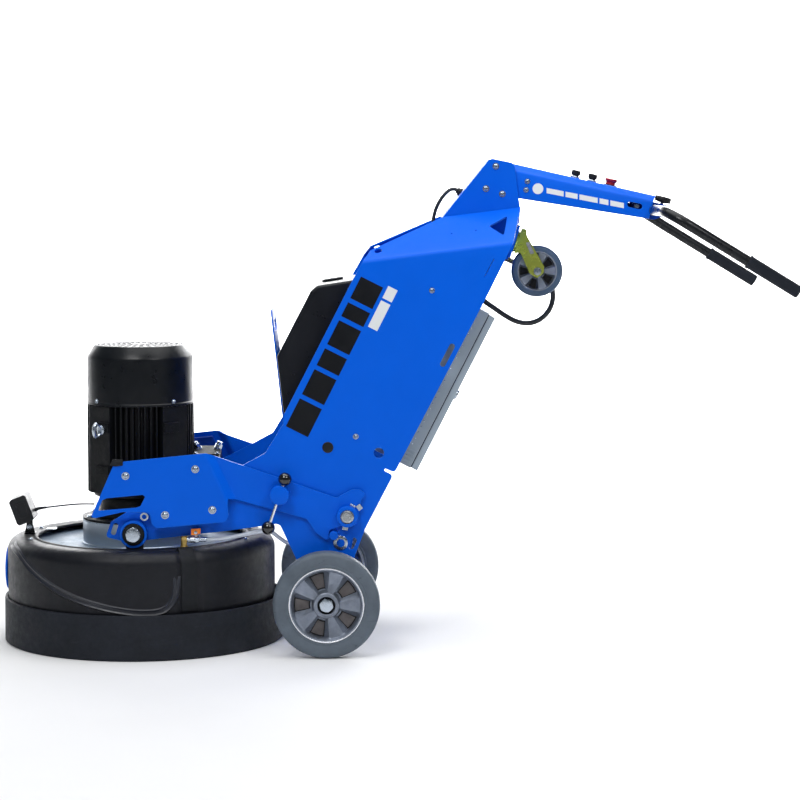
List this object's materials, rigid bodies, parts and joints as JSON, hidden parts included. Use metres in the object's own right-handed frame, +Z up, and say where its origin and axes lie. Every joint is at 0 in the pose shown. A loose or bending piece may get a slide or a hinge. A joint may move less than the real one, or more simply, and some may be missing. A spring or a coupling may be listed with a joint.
{
  "type": "concrete grinder",
  "caption": "Walk-behind floor grinder with a planetary disc head, electric motor, side weights, water tank, wheeled chassis and tilting handlebar.",
  "frame": {"origin": "bottom centre of the machine's box, on the floor", "axes": "+X from the grinding head to the handlebar, +Z up, +Y to the operator's right"},
  "size_m": [2.415, 0.87, 1.487],
  "materials": {
    "blue_paint": "satin powder coat, bright blue",
    "black_paint": "gloss black paint",
    "motor_casting": "black painted die casting",
    "black_plastic": "satin moulded plastic",
    "black_rubber": "matt rubber",
    "cable_rubber": "smooth cable sheath",
    "grey_rubber": "grey elastic solid rubber",
    "caster_rubber": "blue-grey elastic rubber on a cast core",
    "cast_aluminium": "as cast",
    "zinc_steel": "zinc plated",
    "steel_and_plastic": "plated bar with black phenolic balls",
    "yellow_zinc": "yellow chromate zinc plate",
    "cabinet_grey": "light grey powder coat",
    "dark_steel": "bare dark steel",
    "brass": "bare brass",
    "red_plastic": "red moulded plastic",
    "orange_plastic": "orange moulded plastic",
    "clear_hose": "clear flexible tube",
    "diamond_tool": "sintered grinding segments on a steel plate"
  },
  "bodies": {
    "chassis": {"side_plate_left": "blue_paint", "side_plate_right": "blue_paint", "mast": "blue_paint", "inner_panel": "blue_paint", "front_guard": "blue_paint", "wheel_axle": "zinc_steel", "water_tank": "black_plastic", "electric_cabinet": "cabinet_grey", "drive_inverter": "black_plastic", "handle_beam": "blue_paint", "arm_pivot_left": "blue_paint", "arm_pivot_right": "blue_paint", "yoke_bush_left": "black_rubber", "yoke_bush_right": "black_rubber", "control_cable": "cable_rubber", "power_cable": "cable_rubber"},
    "head": {"head_base": "dark_steel", "head_cover": "black_plastic", "head_skirt": "black_rubber", "head_hub": "cast_aluminium", "motor_body": "motor_casting", "fan_cover": "black_paint", "terminal_box": "motor_casting", "tilt_bolt_left": "zinc_steel", "tilt_bolt_right": "zinc_steel", "lamp_bracket": "black_paint", "water_valve": "brass", "lamp_cable": "cable_rubber", "water_hose": "clear_hose"},
    "lamp": {"lamp_head": "black_plastic"},
    "carrier": {"disc_carrier": "cast_aluminium"},
    "disc_1": {"grinding_disc_1": "diamond_tool"},
    "disc_2": {"grinding_disc_2": "diamond_tool"},
    "disc_3": {"grinding_disc_3": "diamond_tool"},
    "rotor": {"motor_rotor": "dark_steel"},
    "valve_handle": {"valve_lever": "orange_plastic"},
    "handlebar_frame": {"handlebar": "black_paint", "grip_left": "black_rubber", "grip_right": "black_rubber"},
    "clamp_screw": {"handlebar_knob": "black_plastic"},
    "speed_dial": {"speed_knob": "black_plastic"},
    "mode_switch": {"mode_knob": "black_plastic"},
    "stop_head": {"stop_button": "red_plastic"},
    "caster": {"caster_fork": "yellow_zinc"},
    "caster_roller": {"caster_wheel": "caster_rubber"},
    "door": {"cabinet_door": "cabinet_grey"},
    "latch": {"door_latch": "zinc_steel"},
    "filler_cap": {"tank_cap": "black_plastic"},
    "wheel_left": {"tyre_left": "grey_rubber", "rim_left": "cast_aluminium"},
    "weight_left": {"weight_arm_left": "blue_paint", "weight_block_left": "dark_steel"},
    "clamp_left": {"clamp_spindle_left": "blue_paint"},
    "clamp_handle_left": {"clamp_bar_left": "steel_and_plastic"},
    "wheel_right": {"tyre_right": "grey_rubber", "rim_right": "cast_aluminium"},
    "weight_right": {"weight_arm_right": "blue_paint", "weight_block_right": "dark_steel"},
    "clamp_right": {"clamp_spindle_right": "blue_paint"},
    "clamp_handle_right": {"clamp_bar_right": "steel_and_plastic"}
  },
  "joints": [
    {"name": "wheel_left_spin", "type": "hinge", "parent": "chassis", "child": "wheel_left", "pos_m": [-0.19749, -0.37, 0.16], "axis": [0, 1, 0], "continuous": true},
    {"name": "weight_left_swing", "type": "hinge", "parent": "chassis", "child": "weight_left", "pos_m": [-0.13549, -0.3035, 0.417], "axis": [0, 1, 0], "range_deg": [0, 98]},
    {"name": "clamp_left_turn", "type": "hinge", "parent": "weight_left", "child": "clamp_left", "pos_m": [-0.33749, -0.336, 0.485], "axis": [0, 1, 0], "continuous": true},
    {"name": "clamp_left_bar_slide", "type": "slide", "parent": "clamp_left", "child": "clamp_handle_left", "axis": [0.3261, 0, 0.9453], "range_m": [0, 0.055]},
    {"name": "wheel_right_spin", "type": "hinge", "parent": "chassis", "child": "wheel_right", "pos_m": [-0.19749, 0.37, 0.16], "axis": [0, 1, 0], "continuous": true},
    {"name": "weight_right_swing", "type": "hinge", "parent": "chassis", "child": "weight_right", "pos_m": [-0.13549, 0.3035, 0.417], "axis": [0, 1, 0], "range_deg": [0, 98]},
    {"name": "clamp_right_turn", "type": "hinge", "parent": "weight_right", "child": "clamp_right", "pos_m": [-0.33749, 0.336, 0.485], "axis": [0, 1, 0], "continuous": true},
    {"name": "clamp_right_bar_slide", "type": "slide", "parent": "clamp_right", "child": "clamp_handle_right", "axis": [0.3261, 0, 0.9453], "range_m": [0, 0.055]},
    {"name": "head_tilt", "type": "hinge", "parent": "chassis", "child": "head", "pos_m": [-0.77649, 0, 0.364], "axis": [0, 1, 0], "range_deg": [-4, 4], "deforming": ["water_hose"]},
    {"name": "carrier_spin", "type": "hinge", "parent": "head", "child": "carrier", "pos_m": [-0.78049, 0, 0.1], "axis": [0, 0, 1], "continuous": true},
    {"name": "rotor_spin", "type": "hinge", "parent": "head", "child": "rotor", "pos_m": [-0.78049, 0, 0.6], "axis": [0, 0, 1], "continuous": true},
    {"name": "disc_1_spin", "type": "hinge", "parent": "carrier", "child": "disc_1", "pos_m": [-1.00049, 0, 0.05], "axis": [0, 0, 1], "continuous": true},
    {"name": "disc_2_spin", "type": "hinge", "parent": "carrier", "child": "disc_2", "pos_m": [-0.67049, -0.19053, 0.05], "axis": [0, 0, 1], "continuous": true},
    {"name": "disc_3_spin", "type": "hinge", "parent": "carrier", "child": "disc_3", "pos_m": [-0.67049, 0.19053, 0.05], "axis": [0, 0, 1], "continuous": true},
    {"name": "lamp_tilt", "type": "hinge", "parent": "head", "child": "lamp", "pos_m": [-1.13049, 0, 0.342], "axis": [0, 1, 0], "range_deg": [-30, 30], "deforming": ["lamp_cable"]},
    {"name": "valve_turn", "type": "hinge", "parent": "head", "child": "valve_handle", "pos_m": [-0.58949, -0.315, 0.361], "axis": [0, 0, -1], "range_deg": [0, 90]},
    {"name": "handlebar_tilt", "type": "hinge", "parent": "chassis", "child": "handlebar_frame", "pos_m": [0.80551, 0, 1.33], "axis": [0, 1, 0], "range_deg": [-40, 25]},
    {"name": "clamp_screw_turn", "type": "hinge", "parent": "chassis", "child": "clamp_screw", "pos_m": [0.83851, 0, 1.345], "axis": [0.259, 0, 0.9659], "continuous": true},
    {"name": "speed_knob_turn", "type": "hinge", "parent": "chassis", "child": "speed_dial", "pos_m": [0.56851, 0, 1.42729], "axis": [0.2193, 0, 0.9756], "range_deg": [-140, 140]},
    {"name": "mode_knob_turn", "type": "hinge", "parent": "chassis", "child": "mode_switch", "pos_m": [0.62051, 0, 1.4156], "axis": [0.2193, 0, 0.9756], "range_deg": [-45, 45]},
    {"name": "stop_button_press", "type": "slide", "parent": "chassis", "child": "stop_head", "axis": [-0.2193, 0, -0.9756], "range_m": [0, 0.006], "stiffness_N_per_m": 500, "springref_m": -0.003},
    {"name": "caster_swivel", "type": "hinge", "parent": "chassis", "child": "caster", "pos_m": [0.38251, 0, 1.233], "axis": [0.9544, 0, -0.2984], "continuous": true},
    {"name": "caster_spin", "type": "hinge", "parent": "caster", "child": "caster_roller", "pos_m": [0.45271, 0, 1.14086], "axis": [0, 1, 0], "continuous": true},
    {"name": "door_swing", "type": "hinge", "parent": "chassis", "child": "door", "pos_m": [0.07629, 0.252, 0.54409], "axis": [0.454, 0, 0.891], "range_deg": [0, 110]},
    {"name": "latch_turn", "type": "hinge", "parent": "door", "child": "latch", "pos_m": [0.19255, -0.222, 0.77666], "axis": [0.891, 0, -0.454], "range_deg": [0, 90]},
    {"name": "cap_turn", "type": "hinge", "parent": "chassis", "child": "filler_cap", "pos_m": [-0.18149, 0, 1.11127], "axis": [-0.1521, 0, 0.9884], "continuous": true}
  ],
  "couplings": [
    {"joint": "rotor_spin", "follows": "carrier_spin", "ratio": 12},
    {"joint": "disc_1_spin", "follows": "carrier_spin", "ratio": -6.5},
    {"joint": "disc_2_spin", "follows": "carrier_spin", "ratio": -6.5},
    {"joint": "disc_3_spin", "follows": "carrier_spin", "ratio": -6.5}
  ]
}
